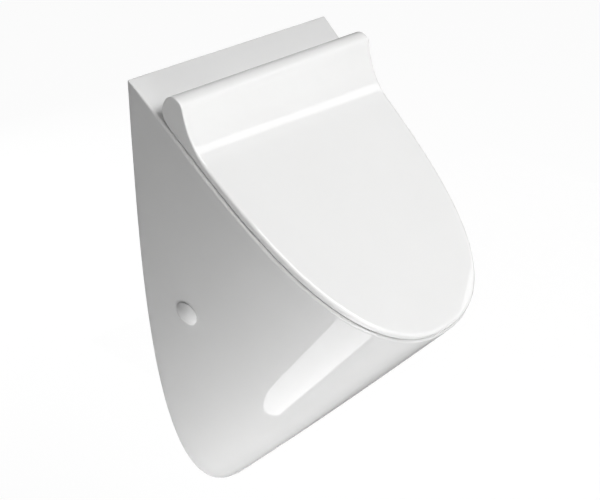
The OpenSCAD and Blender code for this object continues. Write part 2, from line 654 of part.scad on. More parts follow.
module inlet_seal() color("dimgray") placed() difference() {
  along_y(inlet_seat_y - inlet_seal_t, inlet_seat_y, inlet_flange_r, inlet_h);
  along_y(inlet_seat_y - inlet_seal_t - over, inlet_seat_y + over, inlet_r, inlet_h);
}
thread_end_y = spreader_seat_y + seal_squeeze + spreader_l / 2;
socket_base_t = 2; // thickness of the socket's end
module inlet_connector() color("silver") placed() difference() {
  union() {
    along_y(0, socket_l + socket_base_t, socket_r, inlet_h);
    along_y(socket_l, thread_end_y, inlet_r, inlet_h);
    along_y(inlet_seat_y - inlet_seal_t - inlet_flange_t, inlet_seat_y - inlet_seal_t,
      inlet_flange_r, inlet_h);
  }
  along_y(-over, socket_l, socket_bore_r, inlet_h);
  along_y(0, thread_end_y + over, water_r, inlet_h);
}
module spreader_gasket() color("dimgray") placed() difference() {
  along_y(spreader_seat_y, spreader_seat_y + seal_squeeze, inlet_flange_r, inlet_h);
  along_y(spreader_seat_y - over, spreader_seat_y + seal_squeeze + over, inlet_r, inlet_h);
}
jet_count = 7;
jet_r = 1.8; // radius of a jet
jet_margin = 1; // between the jets and the deflector
hub_t = 3; // wall of the spreader's hub
flange_inset = 1; // of the spreader's flange inside its gasket
module spreader() color("silver") placed() {
  base = spreader_seat_y + seal_squeeze;
  difference() {
    union() {
      along_y(base, base + spreader_l + deflector_t, inlet_r + hub_t, inlet_h);
      along_y(base, base + deflector_t, inlet_flange_r - flange_inset, inlet_h);
      along_y(base + spreader_l, base + spreader_l + deflector_t, spreader_r, inlet_h);
    }
    along_y(base - over, base + spreader_l / 2, inlet_r, inlet_h);
    along_y(base, base + spreader_l - jet_margin, water_r, inlet_h);
    for (k = [0:jet_count - 1]) translate([0, -base - spreader_l + jet_r + jet_margin, inlet_h])
      rotate([0, 180 * k / (jet_count - 1) + 90, 0]) cylinder(h = spreader_r, r = jet_r);
  }
}

flange_low = seat_h + top_seal_t;
flange_top = flange_low + flange_t;
tail_reach = 5; // of the flange's tail below the nut
tail_low = floor_under_h - low_seal_t - nut_h - tail_reach;
module ring_up(z, h, r_out, r_in, y) translate([0, -y, z]) difference() {
  cylinder(h = h, r = r_out);
  translate([0, 0, -over]) cylinder(h = h + 2 * over, r = r_in);
}
module waste_seal_top() color("dimgray") placed() ring_up(seat_h, top_seal_t, flange_r, tail_r, drain_y);
module waste_seal_bottom() color("dimgray") placed()
  ring_up(floor_under_h - low_seal_t, low_seal_t, nut_r * cos(30), tail_r, drain_y);
module waste_nut() color("white") placed()
  translate([0, -drain_y, floor_under_h - low_seal_t - nut_h]) difference() {
    cylinder(h = nut_h, r = nut_r, $fn = 6);
    translate([0, 0, -over]) cylinder(h = nut_h + 2 * over, r = tail_r);
  }
module waste_flange() color("silver") placed() translate([0, -drain_y, 0]) difference() {
  union() {
    translate([0, 0, flange_low]) cylinder(h = flange_t, r = flange_r);
    translate([0, 0, tail_low]) cylinder(h = flange_low - tail_low + over, r = tail_r);
  }
  translate([0, 0, tail_low - over]) cylinder(h = flange_top - tail_low + 2 * over, r = tail_r - tail_t);
}
hole_ring_shares = [0.36, 0.66]; // of the skirt's bore
hole_counts = [6, 12];
skirt_h = 8; // depth of the strainer's skirt
skirt_bore_r = tail_r - 2 * tail_t;
module strainer() color("silver") placed()
  translate([0, -drain_y, flange_top + strainer_gap]) difference() {
    union() {
      cylinder(h = strainer_t, r = strainer_r);
      translate([0, 0, -skirt_h]) cylinder(h = skirt_h + over, r = tail_r - tail_t - 2 * strainer_gap);
    }
    translate([0, 0, -skirt_h - over]) cylinder(h = skirt_h + over, r = skirt_bore_r);
    for (ring = [0, 1], k = [0:hole_counts[ring] - 1]) rotate(360 * k / hole_counts[ring])
      translate([hole_ring_shares[ring] * skirt_bore_r, 0, -over])
        cylinder(h = strainer_t + 2 * over, r = strainer_hole_r);
  }

leg_engage = 13.5; // of the elbow in the flange's tail
leg_top = tail_low + leg_engage;
seal_ring_h = 5; // height of the elbow's and the port's seals
module elbow_seal() color("dimgray") placed()
  ring_up(tail_low, seal_ring_h, tail_r - tail_t, leg_r, drain_y);
pipe_end_y = trap_y + dip_r - 2 * pipe_t;
module waste_elbow() color("white") placed() difference() {
  union() {
    translate([0, -drain_y, tail_low]) cylinder(h = leg_top - tail_low, r = leg_r);
    translate([0, -drain_y, elbow_h]) cylinder(h = leg_top - elbow_h, r = pipe_r);
    translate([0, -drain_y, elbow_h]) sphere(r = pipe_r);
    along_y(pipe_end_y, drain_y, pipe_r, elbow_h);
  }
  translate([0, -drain_y, elbow_h]) cylinder(h = leg_top - elbow_h + over, r = pipe_r - pipe_t);
  translate([0, -drain_y, elbow_h]) sphere(r = pipe_r - pipe_t);
  along_y(pipe_end_y - over, drain_y, pipe_r - pipe_t, elbow_h);
}

trap_low_h = wall_run + rise * (trap_y + trap_r) + trap_foot_gap;
plug_t = 4; // thickness of the trap's cap and of its plug
trap_top_h = floor_under_h - plug_t - trap_cap_gap;
port_t = 3; // wall of the trap's port
port_l = 9; // of the port out of the trap
port_r = pipe_r + pipe_t + port_t;
port_y = trap_y + trap_r + port_l;
spigot_r = 21; // radius of the trap's outlet
spigot_y = outlet_l;
module trap_body() color("white") placed() difference() {
  union() {
    translate([0, -trap_y, trap_low_h]) cylinder(h = trap_top_h - trap_low_h, r = trap_r);
    along_y(trap_y, port_y, port_r, elbow_h);
    along_y(spigot_y, trap_y, spigot_r, outlet_h);
  }
  translate([0, -trap_y, trap_low_h + trap_t]) cylinder(h = trap_top_h - trap_low_h, r = trap_r - trap_t);
  along_y(trap_y, port_y + over, pipe_r + pipe_t, elbow_h);
  along_y(spigot_y - over, trap_y, spigot_r - trap_t, outlet_h);
}
module trap_port_seal() color("dimgray") placed() difference() {
  along_y(port_y - seal_ring_h, port_y, pipe_r + pipe_t, elbow_h);
  along_y(port_y - seal_ring_h - over, port_y + over, pipe_r, elbow_h);
}
module trap_cap() color("white") placed() translate([0, -trap_y, 0]) {
  translate([0, 0, trap_top_h]) cylinder(h = plug_t, r = trap_r);
  translate([0, 0, trap_top_h - plug_t]) cylinder(h = plug_t, r = trap_r - trap_t);
}
module trap_dip_tube() color("white") placed() difference() {
  translate([0, -trap_y, 0]) union() {
    translate([0, 0, trap_low_h + trap_t + dip_gap])
      cylinder(h = trap_top_h - plug_t - trap_low_h - trap_t - dip_gap, r = dip_r);
    translate([0, 0, trap_top_h - plug_t - pipe_t]) cylinder(h = pipe_t, r = trap_r - trap_t);
  }
  translate([0, -trap_y, trap_low_h])
    cylinder(h = trap_top_h - plug_t - pipe_t - trap_low_h, r = dip_r - pipe_t);
  along_y(trap_y, trap_y + trap_r, pipe_r, elbow_h);
}
groove_y = 7; // from the wall to the lip seal's groove
groove_t = 2; // depth of that groove
groove_w = 5; // width of that groove
module outlet_socket() color("white") placed() difference() {
  along_y(0, outlet_l + trap_t, outlet_r + outlet_t, outlet_h);
  along_y(-over, outlet_l, outlet_r, outlet_h);
  along_y(outlet_l - over, outlet_l + trap_t + over, spigot_r, outlet_h);
  along_y(groove_y, groove_y + groove_w, outlet_r + groove_t, outlet_h);
}
module outlet_lip_seal() color("dimgray") placed() difference() {
  along_y(groove_y, groove_y + groove_w, outlet_r + groove_t, outlet_h);
  along_y(groove_y - over, groove_y + groove_w + over, outlet_r + pin_gap, outlet_h);
}

ceramic_body();
lid();
lid_buffers();
hinge_post(left);  // hinge_post_left
hinge_post(right);  // hinge_post_right
hinge_pin(left);  // hinge_pin_left
hinge_pin(right);  // hinge_pin_right
lid_damper(left);  // lid_damper_left
lid_damper(right);  // lid_damper_right
hinge_bush(left);  // hinge_bush_left
hinge_bush(right);  // hinge_bush_right
hinge_gasket(left);  // hinge_gasket_left
hinge_gasket(right);  // hinge_gasket_right
hinge_bolt(left);  // hinge_bolt_left
hinge_bolt(right);  // hinge_bolt_right
expansion_plug(left);  // expansion_plug_left
expansion_plug(right);  // expansion_plug_right
expansion_nut(left);  // expansion_nut_left
expansion_nut(right);  // expansion_nut_right
wall_bracket(left);  // wall_bracket_left
wall_bracket(right);  // wall_bracket_right
screw_sleeve(left);  // screw_sleeve_left
screw_sleeve(right);  // screw_sleeve_right
side_screw(left);  // side_screw_left
side_screw(right);  // side_screw_right
cover_cap(left);  // cover_cap_left
cover_cap(right);  // cover_cap_right
inlet_connector();
inlet_seal();
spreader_gasket();
spreader();
strainer();
waste_flange();
waste_seal_top();
waste_seal_bottom();
waste_nut();
waste_elbow();
elbow_seal();
trap_body();
trap_dip_tube();
trap_port_seal();
trap_cap();
outlet_socket();
outlet_lip_seal();
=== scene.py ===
import math

import bpy
from mathutils import Matrix, Vector


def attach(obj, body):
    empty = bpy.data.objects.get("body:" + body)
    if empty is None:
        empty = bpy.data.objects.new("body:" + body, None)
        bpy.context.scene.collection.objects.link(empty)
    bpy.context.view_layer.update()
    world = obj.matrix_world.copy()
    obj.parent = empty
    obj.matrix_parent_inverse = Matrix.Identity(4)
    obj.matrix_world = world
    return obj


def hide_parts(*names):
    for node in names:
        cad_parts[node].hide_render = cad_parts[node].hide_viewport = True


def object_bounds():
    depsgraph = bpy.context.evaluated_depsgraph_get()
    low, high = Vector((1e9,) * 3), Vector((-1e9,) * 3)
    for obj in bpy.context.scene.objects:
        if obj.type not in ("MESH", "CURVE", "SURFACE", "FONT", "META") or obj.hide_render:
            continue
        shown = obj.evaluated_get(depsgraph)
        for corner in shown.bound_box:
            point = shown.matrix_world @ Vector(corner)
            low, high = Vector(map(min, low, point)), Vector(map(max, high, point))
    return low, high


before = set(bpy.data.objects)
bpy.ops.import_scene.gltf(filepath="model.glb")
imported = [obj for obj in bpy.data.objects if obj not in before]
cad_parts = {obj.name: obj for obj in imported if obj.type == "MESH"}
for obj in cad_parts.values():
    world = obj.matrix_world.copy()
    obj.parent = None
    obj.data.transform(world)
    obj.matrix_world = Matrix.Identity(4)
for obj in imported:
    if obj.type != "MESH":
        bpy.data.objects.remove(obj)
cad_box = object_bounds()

# Camera: looks down from the front left at the urinal's side and lid, with the small shift
# that the picture's framing needs.
camera = bpy.data.objects.new("camera", bpy.data.cameras.new("camera"))
camera.data.sensor_width = 36
camera.data.lens = 73.85
camera.data.shift_x = -0.001
camera.data.shift_y = -0.0013
camera.location = (-0.946918, -1.005602, 0.736202)
camera.rotation_euler = Vector((0.6414, 0.6068, -0.4695)).to_track_quat("-Z", "Y").to_euler()
bpy.context.collection.objects.link(camera)
bpy.context.scene.camera = camera
bpy.context.scene.view_settings.view_transform = "Standard"

# Room: a white floor at the height that a urinal hangs above, and plain soft lamps.
# The floor shows nearly pure white to the camera and keeps a faint shadow.
def new_material(name):
    material = bpy.data.materials.new(name)
    material.use_nodes = True
    return material, material.node_tree.nodes, material.node_tree.links

floor_drop = 0.28
bpy.ops.mesh.primitive_plane_add(size=14, location=(0, 0, cad_box[0].z - floor_drop))
floor = bpy.context.object
floor.name = "floor"
white, nodes, links = new_material("white_floor")
matt = nodes["Principled BSDF"]
matt.inputs["Base Color"].default_value = (0.80, 0.80, 0.80, 1)
matt.inputs["Roughness"].default_value = 0.9
matt.inputs["Specular IOR Level"].default_value = 0.1
glow = nodes.new("ShaderNodeEmission")
glow.inputs["Strength"].default_value = 1.06
seen = nodes.new("ShaderNodeLightPath")
share = nodes.new("ShaderNodeMath")
share.operation = "MULTIPLY"
share.inputs[1].default_value = 0.9
mixed = nodes.new("ShaderNodeMixShader")
links.new(seen.outputs["Is Camera Ray"], share.inputs[0])
links.new(share.outputs[0], mixed.inputs[0])
links.new(matt.outputs[0], mixed.inputs[1])
links.new(glow.outputs[0], mixed.inputs[2])
links.new(mixed.outputs[0], nodes["Material Output"].inputs["Surface"])
floor.data.materials.append(white)

world = bpy.data.worlds.new("room")
bpy.context.scene.world = world
world.use_nodes = True
nodes, links = world.node_tree.nodes, world.node_tree.links
room = nodes["Background"]
room.inputs["Color"].default_value = (1, 1, 1, 1)
room.inputs["Strength"].default_value = 0.035
backdrop = nodes.new("ShaderNodeBackground")
backdrop.inputs["Color"].default_value = (1, 1, 1, 1)
backdrop.inputs["Strength"].default_value = 1.0
seen = nodes.new("ShaderNodeLightPath")
mixed = nodes.new("ShaderNodeMixShader")
links.new(seen.outputs["Is Camera Ray"], mixed.inputs[0])
links.new(room.outputs[0], mixed.inputs[1])
links.new(backdrop.outputs[0], mixed.inputs[2])
links.new(mixed.outputs[0], nodes["World Output"].inputs["Surface"])

def lamp(name, place, target, width, height, power):
    data = bpy.data.lights.new(name, "AREA")
    data.shape = "RECTANGLE"
    data.size, data.size_y = width, height
    data.energy = power
    light = bpy.data.objects.new(name, data)
    light.location = place
    light.rotation_euler = (Vector(target) - Vector(place)).to_track_quat("-Z", "Y").to_euler()
    light.visible_camera = False
    bpy.context.collection.objects.link(light)

lamp("top_lamp", (-0.2, -0.2, 2.2), (0, -0.1, 0.1), 1.6, 1.6, 3.9)
lamp("front_lamp", (0.3, -1.6, 1.7), (0, -0.1, 0.1), 1.2, 1.2, 37.3)
lamp("back_lamp", (0.0, 0.9, 1.7), (0, -0.1, 0.1), 1.2, 0.8, 2.2)
lamp("rear_lamp", (0.3, 1.9, 0.3), (0, 0, 0), 1.6, 1.2, 12)
lamp("strip_lamp", (8.22, -5.90, 6.75), (0, -0.1, 0.21), 6.0, 1.5, 66)
lamp("low_left_lamp", (-1.15, -1.25, -0.45), (0, -0.1, -0.1), 0.7, 0.4, 7.1)
lamp("low_front_lamp", (-0.7, -1.7, 0.0), (0, -0.1, -0.1), 0.7, 0.4, 4.6)
lamp("floor_lamp", (-0.4, -0.4, -0.615), (-0.4, -0.4, 1), 1.2, 1.6, 0.68)

# The low panel lies on the floor as a lamp with its own outline, and the glaze shows it as one
# bright stripe.
panel_h = cad_box[0].z - floor_drop + 0.002
panel_outline = [(-0.60, -0.266), (-0.271, -0.063), (-0.211, -0.066), (-0.124, -0.083),
                 (-0.075, -0.096), (-0.119, -0.202), (-0.144, -0.251), (-0.26, -0.42)]
bpy.ops.mesh.primitive_circle_add(vertices=len(panel_outline), radius=0.1, fill_type="NGON")
panel = bpy.context.object
panel.name = "low_panel"
for vertex, place in zip(panel.data.vertices, panel_outline):
    vertex.co = (*place, panel_h)
panel.visible_camera = False
panel_light, nodes, links = new_material("panel_light")
bulb = nodes.new("ShaderNodeEmission")
bulb.inputs["Strength"].default_value = 2.8
links.new(bulb.outputs[0], nodes["Material Output"].inputs["Surface"])
panel_light.cycles.emission_sampling = "FRONT"
panel.data.materials.append(panel_light)

# The flag is a grey card on the floor, and the glaze shows it as the front's darker right end.
bpy.ops.mesh.primitive_plane_add(size=1, location=(1.02, -0.5, panel_h))
flag = bpy.context.object
flag.name = "grey_flag"
flag.scale = (1.4, 2.6, 1)
flag.visible_camera = False
flag.visible_shadow = False
grey_cloth, nodes, links = new_material("grey_cloth")
nodes["Principled BSDF"].inputs["Base Color"].default_value = (0.50, 0.50, 0.50, 1)
flag.data.materials.append(grey_cloth)

# Ceramic body: one fired piece of white glazed vitreous china, a slanted wedge with a bowl.
# Its outer skin is laid ring by ring from the wall face over the side to the rim, since no
# primitive has its outline, and the rest is cut with tools shaped as the moulds' cores are.
mm = 0.001
fixing_h = 347.0  # the frame's origin above the body's lowest point
body_h, body_d, lip_h = 620.0, 330.0, 368.0
rim_l = math.hypot(body_d, body_h - lip_h)
slope_cos, slope_sin = body_d / rim_l, (body_h - lip_h) / rim_l
deck_up = Vector((0, -slope_sin, slope_cos))
up_slope = Vector((0, slope_cos, slope_sin))
wall_out = Vector((0, 1, 0))

def in_frame(p):
    return Vector((p[0], p[1], p[2] - fixing_h)) * mm

# half the width of the back and of the rim, at the share q of their height
def half_width(q, half, corner, power, root):
    return half * (1 - (1 - q) ** power) ** (1 / root) + (corner - half) * q ** 4

def back_half(q, inset=0.0):
    return half_width(q, 159.5 - inset, 157.7 - inset, 3.02, 2.36)

def rim_half(q, inset=0.0):
    return half_width(q, 151.5 - inset, 157.7 - inset, 3.65, 2.25)

# a station v runs from -1 through 0, the lowest point, to 1, and crowds the columns at the bottom
crowding = 2.2

def share_at(v):
    return min(1.0, abs(v)) ** crowding

def station(share, side=1):
    return math.copysign(share ** (1 / crowding), side)

def flat_back(v, inset=0.0, low=0.0, top=body_h):
    q = share_at(v)
    return Vector((math.copysign(back_half(q, inset), v), low + (top - low) * q))

def flat_rim(v, inset=0.0, length=rim_l):
    q = share_at(v)
    return Vector((math.copysign(rim_half(q, inset), v), length * q))

# the outward direction at a station, in the outline's own plane
def flat_out(outline, v, *sizes):
    low, high = max(-1.0, v - 0.001), min(1.0, v + 0.001)
    run = outline(high, *sizes) - outline(low, *sizes)
    return Vector((run.y, -run.x)).normalized()

# direction a, turned the given share of the way to b
def swing(a, b, share):
    angle = a.angle(b)
    if angle < 1e-6:
        return a.copy()
    return (a * math.sin((1 - share) * angle) + b * math.sin(share * angle)) / math.sin(angle)

def eased(share):
    share = max(0.0, min(1.0, share))
    return share * share * (3 - 2 * share)

# how much a point at t of a round corner has of its start, tip and end, by the corner's weight
def corner_shares(t, weight):
    start, tip, end = (1 - t) ** 2, 2 * weight * t * (1 - t), t * t
    total = start + tip + end
    return start / total, tip / total, end / total

# the faces between columns of points that have the same rows
def grid_faces(columns, rows, closed):
    faces = []
    for i in range(columns if closed else columns - 1):
        j = (i + 1) % columns
        for k in range(rows - 1):
            faces.append((i * rows + k, i * rows + k + 1, j * rows + k + 1, j * rows + k))
    return faces

def mesh_piece(name, points, faces):
    mesh = bpy.data.meshes.new(name)
    mesh.from_pydata([in_frame(p) for p in points], [], faces)
    piece = bpy.data.objects.new(name, mesh)
    bpy.context.collection.objects.link(piece)
    return piece

def edit(piece):
    bpy.ops.object.select_all(action="DESELECT")
    piece.select_set(True)
    bpy.context.view_layer.objects.active = piece
    bpy.ops.object.mode_set(mode="EDIT")
    bpy.ops.mesh.select_all(action="SELECT")

def close_shell(piece):
    edit(piece)
    bpy.ops.mesh.remove_doubles(threshold=2e-6)
    bpy.ops.mesh.normals_make_consistent(inside=False)
    bpy.ops.object.mode_set(mode="OBJECT")

def cut(piece, tool, finish, mode="DIFFERENCE"):
    tool.data.materials.append(finish)
    bpy.ops.object.select_all(action="DESELECT")
    bpy.context.view_layer.objects.active = piece
    knife = piece.modifiers.new("cut", "BOOLEAN")
    knife.operation = mode
    knife.solver = "EXACT"
    knife.material_mode = "TRANSFER"
    knife.object = tool
    bpy.ops.object.modifier_apply(modifier="cut")
    bpy.data.objects.remove(tool)

side_steps, arc_steps, span_steps, corner_steps = 64, 6, 12, 5
back_round, rim_round, top_round = 2.4, 3.5, 1.3
top_ease = 0.2  # the top share of the height, over which the roundings turn into the corner's
swell = 2.7
skirt = 2.0  # flat band that keeps the shading of a rounding off the flat beside it
top_inset = top_round * math.tan(math.pi / 4 + math.atan2(slope_sin, slope_cos) / 2)
back_fit, rim_fit = 1 - top_inset / body_h, 1 - top_inset / rim_l

# a point of the side's skin: t runs from the wall face, 0, to the rim, 1
def skin_at(v, t, share):
    q_back = share * back_fit
    b2, r2 = flat_back(station(q_back, v)), flat_rim(station(share * rim_fit, v))
    b = Vector((b2.x, 0, b2.y))
    r = Vector((r2.x, 0, 0)) + Vector((0, 0, body_h)) - up_slope * (rim_l - r2.y)
    o2 = flat_out(flat_back, station(q_back, v))
    puff = swell * math.sin(math.pi * min(1, max(0, t))) * (1 - q_back)
    return b + (r - b) * t + Vector((o2.x, 0, o2.y)) * puff

# one column of the side: the wall face's rounding, the skin, and the rim's rounding
def side_column(v):
    share = share_at(v)
    ease = eased((share - 1 + top_ease) / top_ease)
    e_back = back_round + (top_round - back_round) * ease
    e_rim = rim_round + (top_round - rim_round) * ease
    q_back = share * back_fit
    b, r = skin_at(v, 0, share), skin_at(v, 1, share)
    o2 = flat_out(flat_back, station(q_back, v))
    o_back = Vector((o2.x, 0, o2.y))
    o2 = flat_out(flat_rim, station(share * rim_fit, v))
    o_rim = Vector((o2.x, 0, 0)) + up_slope * o2.y
    step = 0.002
    low, high = max(-1.0, v - step), min(1.0, v + step)
    def along(t):
        return skin_at(high, t, share_at(high)) - skin_at(low, t, share_at(low))
    def normal(t, outside):
        across = r - b + (o_back * math.pi * swell * (1 - q_back)) * (1 if t == 0 else -1)
        n = across.cross(along(t))
        if n.length < 1e-9:
            return outside.copy()
        n.normalize()
        return n if n.dot(outside) > 0 else -n
    n_back, n_rim = normal(0, o_back), normal(1, o_rim)
    if share > 0.995:
        n_back = n_rim = Vector((math.copysign(1, v), 0, 0))
    r_back = e_back * o_back.dot(n_back) / (1 - wall_out.dot(n_back))
    r_rim = e_rim * o_rim.dot(n_rim) / (1 - deck_up.dot(n_rim))
    c_back = b - wall_out * r_back - o_back * e_back
    c_rim = r - deck_up * r_rim - o_rim * e_rim
    if share > 0.9999:
        c_rim = c_back.copy()
        r_rim = r_back
    points = [c_back + wall_out * r_back - o_back * skirt]
    points += [c_back + swing(wall_out, n_back, k / arc_steps) * r_back for k in range(arc_steps + 1)]
    d_back, d_rim = c_back + n_back * r_back, c_rim + n_rim * r_rim
    chord = r - b
    t_back = (d_back - b).dot(chord) / max(1e-9, chord.length_squared)
    t_rim = (d_rim - b).dot(chord) / max(1e-9, chord.length_squared)
    off_back = d_back - skin_at(v, t_back, share)
    off_rim = d_rim - skin_at(v, t_rim, share)
    for k in range(1, span_steps):
        s = eased(k / span_steps) * 0.4 + k / span_steps * 0.6
        if share > 0.9999:
            points.append(d_back.copy())
        else:
            on_skin = skin_at(v, t_back + (t_rim - t_back) * s, share)
            points.append(on_skin + off_back * (1 - s) + off_rim * s)
    points += [c_rim + swing(n_rim, deck_up, k / arc_steps) * r_rim for k in range(arc_steps + 1)]
    points.append(c_rim + deck_up * r_rim - o_rim * skirt)
    return points, c_back

# one column of the top edge, where the wall face and the deck meet in one rounding
def edge_column(centre, out, back_shift, deck_shift):
    points = [centre + wall_out * top_round + back_shift]
    points += [centre + swing(wall_out, out, k / arc_steps) * top_round for k in range(arc_steps + 1)]
    points += [centre + out * top_round] * (span_steps - 1)
    points += [centre + swing(out, deck_up, k / arc_steps) * top_round for k in range(arc_steps + 1)]
    points.append(centre + deck_up * top_round + deck_shift)
    return points

columns = []
for i in range(-side_steps, side_steps + 1):
    made, right_end = side_column(i / side_steps)
    columns.append(made)
    if i == -side_steps:
        left_end = right_end.copy()
top_out = (wall_out + deck_up).normalized()
down_back, down_deck = Vector((0, 0, -skirt)), -up_slope * skirt
for k in range(1, corner_steps + 1):
    columns.append(edge_column(right_end, swing(Vector((1, 0, 0)), top_out, k / corner_steps),
                               Vector((-skirt, 0, -skirt)), Vector((-skirt, 0, 0)) + down_deck))
top_steps = 8
for k in range(1, top_steps):
    centre = right_end.lerp(left_end, k / top_steps)
    columns.append(edge_column(centre, top_out, down_back, down_deck))
for k in range(corner_steps):
    columns.append(edge_column(left_end, swing(top_out, Vector((-1, 0, 0)), k / corner_steps),
                               Vector((skirt, 0, -skirt)), Vector((skirt, 0, 0)) + down_deck))
rows = len(columns[0])
points = [p for column in columns for p in column]
faces = grid_faces(len(columns), rows, True)

# the bowl's mouth, wall, floor and drain seat, ring inside ring
mouth_half, land_w, mouth_back_s, mouth_mid_s, mouth_round = 127.5, 24.0, 118.0, 182.0, 5.0
foot_half, foot_back_y, floor_h = 92.0, 64.0, 235.0
foot_power, wall_power = 2.4, 2.6  # how full the foot's oval is, and the wall's hollow
drain_r, drain_h, drain_y = 46.0, 225.0, 116.0

# a cosine or sine drawn out so that a circle turns into a fuller oval of the given power
def full(c, power):
    return math.copysign(abs(c) ** (2 / power), c)

def flat_mouth(a):
    across, along = math.cos(a), math.sin(a)
    if along < 0:
        front_l = rim_l - land_w - mouth_mid_s
        return Vector((mouth_half * full(across, 2.2), mouth_mid_s - front_l * full(along, 1.9)))
    back_l = mouth_mid_s - mouth_back_s
    return Vector((mouth_half * full(across, 2.8), mouth_mid_s - back_l * full(along, 2.8)))

def on_mouth(a, grow, off):
    run = flat_mouth(a + 0.006) - flat_mouth(a - 0.006)
    p = flat_mouth(a) + Vector((-run.y, run.x)).normalized() * grow
    return Vector((p.x, 0, body_h)) - up_slope * p.y + deck_up * off

ring_steps, wall_steps, lip_steps = 128, 22, 6
wall, rise = 11.0, lip_h / body_d  # the shell's thickness, and how steeply its underside rises
foot_gap = 8  # more than the wall, between the foot's front and the outside
front_y = (floor_h - wall * math.hypot(1, rise)) / rise - foot_gap
drain_profile = [(44, 225), (42.8, 225), (42.1, 224.7), (41.8, 224), (41.8, 220.6), (41.6, 220.15),
                 (41, 220), (38, 220), (30, 220), (28, 219.8), (27.3, 219.1), (27.3, 204)]
bowl_rings = []
for j in range(ring_steps):
    a = 2 * math.pi * (j + 0.5) / ring_steps
    m = on_mouth(a, 0, -mouth_round)
    foot_l = front_y - drain_y if math.sin(a) < 0 else drain_y - foot_back_y
    foot = Vector((foot_half * full(math.cos(a), foot_power),
                   -drain_y + foot_l * full(math.sin(a), foot_power), floor_h))
    drain = Vector((drain_r * math.cos(a), -drain_y + drain_r * math.sin(a), drain_h))
    start = on_mouth(a, mouth_round, 0)
    climb = (m - foot).normalized()
    edge = m + climb * (mouth_round / climb.dot(deck_up))
    bend = (start - edge).normalized().dot((m - edge).normalized())
    weight = math.sqrt((1 - bend) / 2)
    ring = [on_mouth(a, mouth_round + skirt, 0)]
    for k in range(lip_steps + 1):
        to_start, to_edge, to_wall = corner_shares(k / lip_steps, weight)
        ring.append(start * to_start + edge * to_edge + m * to_wall)
    for k in range(1, wall_steps + 1):
        turn = math.pi / 2 * k / wall_steps
        ring.append(foot + (m - foot) * (1 - full(math.sin(turn), wall_power))
                    + (drain - foot) * (1 - full(math.cos(turn), wall_power)))
    for radius, height in drain_profile:
        ring.append(Vector((radius * math.cos(a), -drain_y + radius * math.sin(a), height)))
    bowl_rings.append(ring)
shift = len(points)
bowl_rows = len(bowl_rings[0])
points += [p for ring in bowl_rings for p in ring]
faces += [tuple(shift + i for i in face) for face in grid_faces(ring_steps, bowl_rows, True)]
faces.append([shift + j * bowl_rows + bowl_rows - 1 for j in range(ring_steps)])  # the drain's end
faces.append([i * rows for i in range(len(columns))])  # the wall face, which the core opens later
body = mesh_piece("urinal_ceramic", points, faces)
edit(body)
bpy.ops.mesh.remove_doubles(threshold=2e-6)
bpy.ops.mesh.select_mode(type="EDGE")
bpy.ops.mesh.select_all(action="DESELECT")
bpy.ops.mesh.select_non_manifold(extend=False)
bpy.ops.mesh.fill(use_beauty=True)  # the deck, between the rim's ring and the bowl's mouth
bpy.ops.mesh.select_all(action="SELECT")
bpy.ops.mesh.normals_make_consistent(inside=False)
bpy.ops.object.mode_set(mode="OBJECT")

# what every finish here shares: soft cloudiness in colour and gloss, and a fine relief
finish_grain = bpy.data.node_groups.new("finish_grain", "ShaderNodeTree")
for title, kind in (("Vector", "Vector"), ("Scale", "Float"), ("Fine Scale", "Float"),
                    ("Color A", "Color"), ("Color B", "Color"),
                    ("Rough Low", "Float"), ("Rough High", "Float"), ("Fine Share", "Float")):
    finish_grain.interface.new_socket(title, in_out="INPUT", socket_type="NodeSocket" + kind)
for title, kind in (("Color", "Color"), ("Roughness", "Float"), ("Height", "Float")):
    finish_grain.interface.new_socket(title, in_out="OUTPUT", socket_type="NodeSocket" + kind)
nodes, links = finish_grain.nodes, finish_grain.links
given, made = nodes.new("NodeGroupInput"), nodes.new("NodeGroupOutput")
broad, fine = nodes.new("ShaderNodeTexNoise"), nodes.new("ShaderNodeTexNoise")
broad.inputs["Detail"].default_value = 3
fine.inputs["Detail"].default_value = 2
links.new(given.outputs["Vector"], broad.inputs["Vector"])
links.new(given.outputs["Vector"], fine.inputs["Vector"])
links.new(given.outputs["Scale"], broad.inputs["Scale"])
links.new(given.outputs["Fine Scale"], fine.inputs["Scale"])
blend = nodes.new("ShaderNodeMix")
links.new(given.outputs["Fine Share"], blend.inputs["Factor"])
links.new(broad.outputs["Fac"], blend.inputs["A"])
links.new(fine.outputs["Fac"], blend.inputs["B"])
links.new(blend.outputs["Result"], made.inputs["Height"])
tint = nodes.new("ShaderNodeMix")
tint.data_type = "RGBA"
links.new(blend.outputs["Result"], tint.inputs["Factor"])
links.new(given.outputs["Color A"], tint.inputs["A"])
links.new(given.outputs["Color B"], tint.inputs["B"])
links.new(tint.outputs["Result"], made.inputs["Color"])
gloss_spread = nodes.new("ShaderNodeMapRange")
links.new(blend.outputs["Result"], gloss_spread.inputs["Value"])
gloss_spread.inputs["From Min"].default_value = 0.3
gloss_spread.inputs["From Max"].default_value = 0.7
links.new(given.outputs["Rough Low"], gloss_spread.inputs["To Min"])
links.new(given.outputs["Rough High"], gloss_spread.inputs["To Max"])
links.new(gloss_spread.outputs["Result"], made.inputs["Roughness"])

